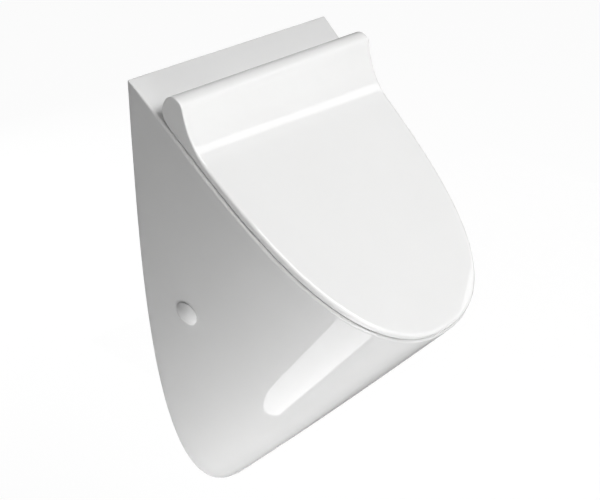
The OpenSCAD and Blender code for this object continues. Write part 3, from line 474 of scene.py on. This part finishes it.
def grained(name, scale, fine_scale, colour_a, colour_b, rough, relief_mm, fine_share, metal=0.0,
            stretch=(1, 1, 1)):
    material, nodes, links = new_material(name)
    surface = nodes["Principled BSDF"]
    surface.inputs["Metallic"].default_value = metal
    place, lay = nodes.new("ShaderNodeTexCoord"), nodes.new("ShaderNodeMapping")
    lay.inputs["Scale"].default_value = stretch
    links.new(place.outputs["Object"], lay.inputs["Vector"])
    grain = nodes.new("ShaderNodeGroup")
    grain.node_tree = finish_grain
    links.new(lay.outputs["Vector"], grain.inputs["Vector"])
    for title, value in (("Scale", scale), ("Fine Scale", fine_scale), ("Color A", (*colour_a, 1)),
                         ("Color B", (*colour_b, 1)), ("Rough Low", rough[0]), ("Rough High", rough[1]),
                         ("Fine Share", fine_share)):
        grain.inputs[title].default_value = value
    links.new(grain.outputs["Color"], surface.inputs["Base Color"])
    links.new(grain.outputs["Roughness"], surface.inputs["Roughness"])
    bump = nodes.new("ShaderNodeBump")
    bump.inputs["Distance"].default_value = relief_mm * mm
    links.new(grain.outputs["Height"], bump.inputs["Height"])
    links.new(bump.outputs["Normal"], surface.inputs["Normal"])
    return material

glaze = grained("white_glaze", 9, 60, (0.785, 0.785, 0.782), (0.815, 0.815, 0.812),
                (0.02, 0.035), 0.25, 0.08)
glaze.node_tree.nodes["Principled BSDF"].inputs["IOR"].default_value = 1.52
bisque = grained("unglazed_bisque", 40, 900, (0.70, 0.675, 0.63), (0.80, 0.785, 0.75),
                 (0.8, 0.95), 0.35, 0.6)
body.data.materials.append(glaze)

# the service space: the core that stands inside the shell, cut off in front by the bowl's back
deck_t, under_h = 14.0, 206.0
steep = slope_sin / slope_cos
core_low = wall * math.hypot(1, rise) - rise
core_top = body_h - deck_t / slope_cos + steep
core_d = (core_top - core_low) / (rise + steep)
core_l = math.hypot(core_d, core_top - core_low - rise * core_d)
core_steps, core_spans = 32, 8
core_points = []
for i in range(-core_steps, core_steps + 1):
    v = i / core_steps
    b2, r2 = flat_back(v, wall, core_low, core_top), flat_rim(v, wall, core_l)
    b = Vector((b2.x, 1, b2.y))
    r = Vector((r2.x, 1, core_top)) - up_slope * (core_l - r2.y)
    o2 = flat_out(flat_back, v, wall, core_low, core_top)
    core_swell = Vector((o2.x, 0, o2.y)) * swell * (1 - share_at(v))
    for k in range(core_spans + 1):
        t = k / core_spans
        core_points.append(b + (r - b) * t + core_swell * math.sin(math.pi * t))
core_rows, core_count = core_spans + 1, 2 * core_steps + 1
core_faces = grid_faces(core_count, core_rows, False)
core_faces += [[core_rows * i + row for i in range(core_count)] for row in (0, core_spans)]
core = mesh_piece("shell_core", core_points, core_faces)
close_shell(core)

# the faces of a prism whose two outlines have the given count of points
def prism_faces(count):
    faces = [tuple(range(count)), tuple(range(2 * count - 1, count - 1, -1))]
    return faces + [(i, (i + 1) % count, (i + 1) % count + count, i + count) for i in range(count)]

front = [(-2, -1), (body_d, -1), (body_d, under_h), (50, under_h), (80, 541.3), (80, body_h),
         (-2, body_h)]
front = [Vector(p) for p in front]
bend_at, bend_r, bend_steps = 3, 8, 6  # the corner under the bowl's back is rounded
tip = front[bend_at]
start = tip + (front[bend_at - 1] - tip).normalized() * bend_r
end = tip + (front[bend_at + 1] - tip).normalized() * bend_r
bend = [start.lerp(tip, k / bend_steps).lerp(tip.lerp(end, k / bend_steps), k / bend_steps)
        for k in range(bend_steps + 1)]
front[bend_at:bend_at + 1] = bend
front_block = mesh_piece("space_front", [Vector((x, -p.x, p.y)) for x in (-200, 200) for p in front],
                         prism_faces(len(front)))
close_shell(front_block)
cut(core, front_block, bisque, "INTERSECT")
cut(body, core, bisque)

# a turned shape: an outline of (radius, height) swept round its axis with the spin tool
def turned(name, outline, centre, axis, steps):
    across = axis.orthogonal().normalized()
    points = [in_frame(centre + across * r + axis * h) for r, h in outline]
    mesh = bpy.data.meshes.new(name)
    mesh.from_pydata(points, [(i, i + 1) for i in range(len(points) - 1)], [])
    piece = bpy.data.objects.new(name, mesh)
    bpy.context.collection.objects.link(piece)
    edit(piece)
    bpy.ops.mesh.spin(steps=steps, angle=2 * math.pi, center=in_frame(centre), axis=axis)
    bpy.ops.object.mode_set(mode="OBJECT")
    close_shell(piece)
    return piece

# the side fixing: a frame on the skin whose axis points straight out of it
def side_at(y, z):
    q = (z - rise * y) / body_h
    t = y / (body_d * (1 - q))
    b, r = back_half(q), rim_half(q)
    return b + (r - b) * t + swell * math.sin(math.pi * t) * (1 - q)

fixing_y = 67.5
pocket_x, pocket_y, pocket_z = (-23, 23), (-19, 68.5), (-26.5, -11)
pocket_faces = [(0, 1, 3, 2), (4, 5, 7, 6), (0, 1, 5, 4), (2, 3, 7, 6), (0, 2, 6, 4), (1, 3, 7, 5)]
hinge_x, bolt_s = 75.0, 98.0  # the lid's bolts, from the middle and from the top edge
lean_y = (side_at(fixing_y + 1, fixing_h) - side_at(fixing_y - 1, fixing_h)) / 2
lean_z = (side_at(fixing_y, fixing_h + 1) - side_at(fixing_y, fixing_h - 1)) / 2
side_place = {1: Vector((side_at(fixing_y, fixing_h), -fixing_y, fixing_h))}
side_axis = {1: Vector((1, lean_y, -lean_z)).normalized()}
side_place[-1] = Vector((-side_place[1].x, -fixing_y, fixing_h))
side_axis[-1] = Vector((-side_axis[1].x, side_axis[1].y, side_axis[1].z))
turn = Matrix.Rotation(math.atan2(side_axis[1].y, side_axis[1].x), 3, "Z")
turn = turn @ Matrix.Rotation(math.acos(side_axis[1].z), 3, "Y")
screw_hole = [(0, 1), (11, 1), (11, -5), (6.5, -5), (6.5, -12.5), (0, -12.5)]
bolt_hole = [(0, 1), (6, 1), (6, -15), (0, -15)]
for side in (-1, 1):
    corners = [turn @ Vector((x, y, z)) for x in pocket_x for y in pocket_y for z in pocket_z]
    corners = [side_place[side] + Vector((p.x * side, p.y, p.z)) for p in corners]
    pocket = mesh_piece("pocket_core", corners, pocket_faces)
    close_shell(pocket)
    cut(body, pocket, bisque)
    cut(body, turned("screw_hole_core", screw_hole, side_place[side], side_axis[side], 48), glaze)
    hinge_place = Vector((side * hinge_x, 0, body_h)) - up_slope * bolt_s
    cut(body, turned("hinge_hole_core", bolt_hole, hinge_place, deck_up, 48), bisque)
inlet_h = 502.995
inlet_place = Vector((0, 0, inlet_h))
inlet_hole = [(0, 10), (21, 10), (21, 78.45), (10.5, 78.45), (10.5, 88), (0, 88)]
spreader_seat = [(0, 87.45), (22, 87.45), (22, 103), (0, 103)]
cut(body, turned("inlet_core", inlet_hole, inlet_place, -wall_out, 64), bisque)
cut(body, turned("spreader_seat_core", spreader_seat, inlet_place, -wall_out, 64), glaze)

# no glaze on the face that meets the wall
raw_face = list(body.data.materials).index(bisque)
for face in body.data.polygons:
    if face.normal.y > 0.9 and face.center.y > -0.0002:
        face.material_index = raw_face

def smooth(piece, angle):
    edit(piece)
    bpy.ops.object.mode_set(mode="OBJECT")
    bpy.ops.object.shade_smooth_by_angle(angle=math.radians(angle))

smooth(body, 35)
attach(body, "urinal")
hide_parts("ceramic_body")

# Lid: one glossy white plastic moulding that follows the rim and rolls up at the rear into a
# grip bar. It is laid station by station down the slope; its slots and bores are then cut.
lid_gap, plate_top = 1.2, 9.2
roll_r, pivot_s, pivot_off = 15.0, 65.5, 24.5
sweep_end_s, heel_s, lid_inset = 138.0, 74.95, 2.5

def bezier(a, b, c, d, t):
    return a * (1 - t) ** 3 + b * 3 * t * (1 - t) ** 2 + c * 3 * (1 - t) * t * t + d * t ** 3

def on_slope(x, s, off):
    return Vector((x, 0, body_h)) - up_slope * s + deck_up * off

pivot = Vector((pivot_s, pivot_off))
lead = pivot + Vector((1, 1)) * roll_r * math.sqrt(0.5)
run = sweep_end_s - lead.x
roll_steps, sweep_steps, heel_steps = 30, 24, 60
top_line = [pivot + Vector((math.cos(a), math.sin(a))) * roll_r
            for a in [math.pi * (1 - 0.75 * k / roll_steps) for k in range(roll_steps + 1)]]
sweep_end = Vector((sweep_end_s, plate_top))
top_line += [bezier(lead, lead + Vector((1, -1)) * 0.3 * run * math.sqrt(0.5),
                    sweep_end - Vector((0.45 * run, 0)), sweep_end, k / sweep_steps)
             for k in range(1, sweep_steps + 1)]
bar_back, heel = Vector((pivot_s - roll_r, pivot_off)), Vector((heel_s, lid_gap))
heel_line = [bezier(bar_back, bar_back - Vector((0, 0.9 * roll_r)),
                    heel - Vector((0.72 * (heel_s - pivot_s + roll_r), 0)), heel, k / heel_steps)
             for k in range(heel_steps + 1)]

# the point and the normal of a line at s down the slope
def level(line, s):
    for p, q in zip(line, line[1:]):
        if s <= q.x:
            share = (s - p.x) / max(1e-9, q.x - p.x)
            n = Vector((p.y - q.y, q.x - p.x)).normalized()
            return p.lerp(q, share), n
    return Vector((s, line[-1].y)), Vector((0, 1))

# one column of the lid's edge: the top face's rounding, the edge, and the underside's rounding
edge_weight, edge_steps, shading_band = math.sqrt(0.5), 6, 1.5

def lid_column(x, s, o, e_top, top, n_top, low, n_low):
    out = Vector((o.x, 0, 0)) - up_slope * o.y
    def place(p, n, inwards, down):
        flat = Vector((p.x - n.x * down, p.y - n.y * down))
        return on_slope(x, flat.x, flat.y) - out * inwards
    e_low = min(1.3, 0.3 * (top - low).length + 0.8) if s < sweep_end_s else 1.0
    if (top - low).length < 1e-6:
        e_low = e_top  # the two faces meet along the back of the bar
    points = [place(top, n_top, e_top + shading_band, 0)]
    for k in range(edge_steps + 1):
        inwards, _, down = corner_shares(k / edge_steps, edge_weight)
        points.append(place(top, n_top, e_top * inwards, e_top * down))
    upper, lower = place(top, n_top, 0, e_top), place(low, n_low, 0, e_low)
    edge_h = (lower - upper).length
    near = min(0.7, 0.25 * edge_h) / max(edge_h, 1e-6)
    points += [upper.lerp(lower, near), upper.lerp(lower, 1 - near)]
    for k in range(edge_steps + 1):
        down, _, inwards = corner_shares(k / edge_steps, edge_weight)
        points.append(place(low, n_low, e_low * inwards, e_low * down))
    points.append(place(low, n_low, e_low + shading_band, 0))
    return points

bar_round, plate_round, ease_from_s = 1.3, 3.5, 88
left_columns = []
for k in range(len(top_line)):
    s = top_line[k].x
    ahead = top_line[min(k + 1, len(top_line) - 1)] - top_line[max(k - 1, 0)]
    n_top = Vector((-ahead.y, ahead.x)).normalized()
    if k == 0:
        n_top, top, low, n_low = Vector((-1, 0)), top_line[0], top_line[0], Vector((-1, 0))
    elif k == len(top_line) - 1:
        n_top, top, low, n_low = Vector((0, 1)), top_line[k], Vector((s, lid_gap)), Vector((0, -1))
    else:
        top = top_line[k]
        low, n = level(heel_line, s)
        n_low = -n if n.y > 0 else n
    ease = eased((s - ease_from_s) / (sweep_end_s - ease_from_s))
    q = (rim_l - s) / rim_l
    o = flat_out(flat_rim, station(q))
    o = Vector((1, -o.y * ease)).normalized()
    e_top = bar_round + (plate_round - bar_round) * ease
    left_columns.append((rim_half(q) - lid_inset, s, o, e_top, top, n_top, low, n_low))
tip_columns = []
tip_steps = 56
v_end = station((rim_l - sweep_end_s) / rim_l)
for k in range(-tip_steps + 1, tip_steps):
    v = v_end * k / tip_steps
    o2 = flat_out(flat_rim, v)
    p = flat_rim(v) - o2 * lid_inset
    s = rim_l - p.y
    tip_columns.append((p.x, s, Vector((o2.x, -o2.y)), plate_round,
                        Vector((s, plate_top)), Vector((0, 1)), Vector((s, lid_gap)), Vector((0, -1))))
columns = [lid_column(-x, s, Vector((-o.x, o.y)), *rest) for x, s, o, *rest in left_columns]
columns += [lid_column(*given) for given in tip_columns]
columns += [lid_column(*given) for given in reversed(left_columns)]
rows, count, stations = len(columns[0]), len(columns), len(left_columns)
points = [p for column in columns for p in column]
faces = grid_faces(count, rows, False)
for k in range(stations - 1):
    for row in (0, rows - 1):
        faces.append([column * rows + row for column in (k, k + 1, count - 2 - k, count - 1 - k)])
for row in (0, rows - 1):
    faces.append([i * rows + row for i in range(stations - 1, count - stations + 1)])
lid = mesh_piece("lid_moulding", points, faces)
close_shell(lid)
lid_plastic = grained("white_lid_plastic", 14, 200, (0.875, 0.875, 0.87), (0.90, 0.90, 0.895),
                      (0.006, 0.012), 0.02, 0.06)
lid.data.materials.append(lid_plastic)

# the slots for the two hinge posts, and the bores for damper, bush and buffers
slot_half, sweep_reach, sweep_from, sweep_turn = 7.8, 49.0, -42, -148
eye_r, bore_r, bore_from, bore_to = 9.0, 5.5, 21.2, 95.8
foot_front_s, foot_top = 108, 8

def slope_prism(outline, x_low, x_high):
    points = [on_slope(x, p.x, p.y) for x in (x_low, x_high) for p in outline]
    return points, prism_faces(len(outline))

def round_pivot(radius, start, sweep, steps):
    turns = [math.radians(start + sweep * k / steps) for k in range(steps + 1)]
    return [Vector((math.cos(a), math.sin(a))) * radius + pivot for a in turns]

def joined_tool(name, parts):
    points, faces = [], []
    for more_points, more_faces in parts:
        faces += [tuple(len(points) + i for i in face) for face in more_faces]
        points += more_points
    tool = mesh_piece(name, points, faces)
    close_shell(tool)
    return tool

fan = round_pivot(sweep_reach, sweep_from, sweep_turn, 18)
wedge_slot = [pivot + Vector((5.5, 5.5))] + fan + [pivot + Vector((-6.5, 5.5))]
foot_slot = [(pivot_s, -1), (foot_front_s, -1), (foot_front_s, foot_top), (pivot_s, foot_top)]
foot_slot = [Vector(p) for p in foot_slot]
slots = [(side * hinge_x - slot_half, side * hinge_x + slot_half) for side in (-1, 1)]
cut(lid, joined_tool("slot_core", [slope_prism(wedge_slot, *ends) for ends in slots]), lid_plastic)
for low, high in slots:
    cut(lid, joined_tool("foot_core", [slope_prism(foot_slot, low, high)]), lid_plastic)
    eye = round_pivot(eye_r, 0, 360, 40)[:-1]
    cut(lid, joined_tool("eye_core", [slope_prism(eye, low - 0.01, high + 0.01)]), lid_plastic)
bore = round_pivot(bore_r, 0, 360, 32)[:-1]
bores = [slope_prism(bore, *ends) for ends in ((-bore_to, -bore_from), (bore_from, bore_to))]
cut(lid, joined_tool("bore_core", bores), lid_plastic)
buffer_inset, buffer_shares, buffer_places = 12, (0.42, 0.8), []
for share in buffer_shares:
    v = station(1 - share)
    p = flat_rim(v) - flat_out(flat_rim, v) * buffer_inset
    for side in (-1, 1):
        buffer_places.append(Vector((side * p.x, 0, body_h)) - up_slope * (rim_l - p.y))
stem_r, stem_depth = 2, 4
stem_hole = [(0, 0), (stem_r, 0), (stem_r, lid_gap + stem_depth), (0, lid_gap + stem_depth)]
for p in buffer_places:
    cut(lid, turned("stem_core", stem_hole, p, deck_up, 24), lid_plastic)
smooth(lid, 35)
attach(lid, "lid")
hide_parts("lid")

# Cover caps: thin domed discs in the lid's white plastic, turned as one outline each, whose
# short skirts press into the recesses on the sides and hide the locking screws.
cap_plastic = grained("white_cap_plastic", 30, 400, (0.89, 0.89, 0.887), (0.92, 0.92, 0.917),
                      (0.08, 0.12), 0.02, 0.3)
cap_r, cap_round, cap_edge_h = 15.0, 0.4, 1.2
cap_outline = [(0, 2.4), (9.3, 2.4), (9.45, 2.2), (9.45, -2.9), (9.6, -3), (10.7, -3), (10.85, -2.8),
               (10.85, 0.5), (14.8, 0.7)]
cap_outline += [(cap_r - cap_round * (1 - math.cos(a)), cap_edge_h + cap_round * math.sin(a))
                for a in [math.pi / 2 * k / 6 for k in range(7)]]
dome_turn, dome_steps = 0.54, 24  # in radians, from the cap's axis to its edge
dome_r = (cap_r - cap_round) / math.sin(dome_turn)
dome_h = cap_edge_h + cap_round + dome_r * (1 - math.cos(dome_turn))
cap_outline += [(dome_r * math.sin(a), dome_h - dome_r * (1 - math.cos(a)))
                for a in [dome_turn * (1 - k / dome_steps) for k in range(1, dome_steps)]]
cap_outline.append((0, dome_h))
for side, name in ((-1, "left"), (1, "right")):
    cap = turned("cap_disc_" + name, cap_outline, side_place[side], side_axis[side], 96)
    cap.data.materials.append(cap_plastic)
    smooth(cap, 30)
    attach(cap, "urinal")
    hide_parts("cover_cap_" + name)

# Hinge posts: cranked chrome-plated castings that stand on the rim and carry the lid's pins.
# Each is the cast blank with its flats merged, its edges rounded and its faces smoothed.
chrome = grained("chrome_plate", 60, 700, (0.74, 0.75, 0.77), (0.80, 0.81, 0.82),
                 (0.07, 0.13), 0.01, 0.5, 1.0)

def refined(node, name, finish, round_mm, body_name, steps=2):
    sharp = 32  # degrees: turns steeper than this are edges
    piece = bpy.data.objects.new(name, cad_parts[node].data.copy())
    bpy.context.collection.objects.link(piece)
    piece.data.materials.clear()
    edit(piece)
    bpy.ops.mesh.remove_doubles(threshold=2e-6)
    bpy.ops.mesh.dissolve_limited(angle_limit=math.radians(0.6))
    bpy.ops.object.mode_set(mode="OBJECT")
    edge = piece.modifiers.new("edge", "BEVEL")
    edge.width = round_mm * mm
    edge.segments = steps
    edge.limit_method = "ANGLE"
    edge.angle_limit = math.radians(sharp)
    edge.use_clamp_overlap = False
    bpy.ops.object.modifier_apply(modifier="edge")
    piece.data.materials.append(finish)
    smooth(piece, sharp)
    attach(piece, body_name)
    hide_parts(node)

for name in ("left", "right"):
    refined("hinge_post_" + name, "post_casting_" + name, chrome, 0.45, "urinal", steps=3)

# Pins, bolts and screws: brushed stainless steel, turned on a lathe, with a small rounding on
# every end and shoulder. The pins cross the lid's slots inside the posts' eyes.
steel = grained("brushed_stainless", 30, 260, (0.50, 0.50, 0.49), (0.64, 0.64, 0.625), (0.22, 0.34),
                0.02, 0.7, 1.0, (1, 1, 6))
for name in ("left", "right"):
    refined("hinge_pin_" + name, "pivot_rod_" + name, steel, 0.35, "urinal")
    refined("hinge_bolt_" + name, "post_bolt_" + name, steel, 0.4, "urinal")
    refined("side_screw_" + name, "locking_screw_" + name, steel, 0.4, "urinal")

# Dampers, bushes and screw sleeves: nylon mouldings. Damper and bush sit in the lid's bore
# and turn with it; the sleeves keep the locking screws off the ceramic.
nylon = grained("ivory_nylon", 50, 900, (0.66, 0.655, 0.62), (0.72, 0.715, 0.68),
                (0.38, 0.5), 0.03, 0.6)
for name in ("left", "right"):
    refined("lid_damper_" + name, "soft_close_damper_" + name, nylon, 0.3, "lid")
    refined("hinge_bush_" + name, "pivot_bush_" + name, nylon, 0.3, "lid")
    refined("screw_sleeve_" + name, "fixing_sleeve_" + name, nylon, 0.2, "urinal")

# Seals, gaskets, plugs and buffers: black moulded rubber with a matt bloom, and soft grey
# rubber for the four buffers that the lid lands on.
rubber = grained("black_rubber", 60, 1200, (0.022, 0.022, 0.023), (0.045, 0.045, 0.045), (0.55, 0.75),
                 0.03, 0.6)
for node in ("hinge_gasket_left", "hinge_gasket_right", "expansion_plug_left", "expansion_plug_right"):
    refined(node, "moulded_" + node, rubber, 0.2, "urinal")
for node in ("inlet_seal", "spreader_gasket", "waste_seal_top", "waste_seal_bottom", "elbow_seal",
             "trap_port_seal", "outlet_lip_seal"):
    refined(node, "moulded_" + node, rubber, 0.25, "urinal")
buffer_rubber = grained("grey_buffer_rubber", 60, 1200, (0.30, 0.30, 0.30), (0.38, 0.38, 0.38),
                        (0.5, 0.65), 0.02, 0.6)
refined("lid_buffers", "landing_buffers", buffer_rubber, 0.25, "lid")

# Expansion nuts: hexagon brass nuts under the rubber plugs. The hinge bolts draw them up, and
# that swells the plugs in their holes.
brass = grained("plain_brass", 40, 300, (0.58, 0.40, 0.15), (0.70, 0.52, 0.24),
                (0.24, 0.38), 0.02, 0.5, 1.0)
for name in ("left", "right"):
    refined("expansion_nut_" + name, "swell_nut_" + name, brass, 0.5, "urinal")

# Wall brackets: bent steel plates, hot-dip galvanised, screwed to the wall, with a threaded
# boss on the tab that takes the locking screw. The zinc shows its spangle.
zinc = grained("galvanised_steel", 50, 350, (0.42, 0.43, 0.44), (0.58, 0.59, 0.60),
               (0.34, 0.50), 0.04, 0.5, 0.9)
nodes, links = zinc.node_tree.nodes, zinc.node_tree.links
spangle = nodes.new("ShaderNodeTexVoronoi")
spangle.inputs["Scale"].default_value = 130
links.new(nodes["Mapping"].outputs["Vector"], spangle.inputs["Vector"])
flake = nodes.new("ShaderNodeMix")
flake.data_type = "RGBA"
flake.blend_type = "MULTIPLY"
flake.inputs["Factor"].default_value = 0.35
grey = nodes.new("ShaderNodeSeparateColor")
links.new(spangle.outputs["Color"], grey.inputs["Color"])
links.new(nodes["Group"].outputs["Color"], flake.inputs["A"])
links.new(grey.outputs["Red"], flake.inputs["B"])
links.new(flake.outputs["Result"], nodes["Principled BSDF"].inputs["Base Color"])
for name in ("left", "right"):
    refined("wall_bracket_" + name, "zinc_bracket_" + name, zinc, 0.3, "urinal")

# Water inlet and spreader: chromed brass. The connector is clamped through the bowl's back by
# the spreader, whose round deflector turns the flush into the bowl through a row of jets.
refined("inlet_connector", "water_connector", chrome, 0.5, "urinal")
refined("spreader", "flush_spreader", chrome, 0.35, "urinal")

# Strainer: a chromed plate with two rings of holes and a short skirt. It lies on the waste
# flange by its own weight and lifts out for cleaning.
refined("strainer", "drain_strainer", chrome, 0.3, "strainer")

# Waste flange: pressed stainless steel with a tail through the drain hole, clamped to the
# bowl's floor by the nut below.
refined("waste_flange", "drain_flange", steel, 0.3, "urinal")

# Nut, elbow, trap and outlet socket: moulded white plastic with a faint matt texture, pushed
# together on lip seals, and pulled off downwards to clear the trap.
pipe_plastic = grained("matt_pipe_plastic", 30, 800, (0.60, 0.60, 0.585), (0.67, 0.67, 0.655),
                       (0.36, 0.48), 0.04, 0.6)
for node, name in (("waste_nut", "clamp_nut"), ("waste_elbow", "drain_elbow"),
                   ("trap_body", "trap_cup"), ("trap_dip_tube", "dip_tube"), ("trap_cap", "trap_lid"),
                   ("outlet_socket", "wall_socket")):
    refined(node, name, pipe_plastic, 0.4, "urinal")
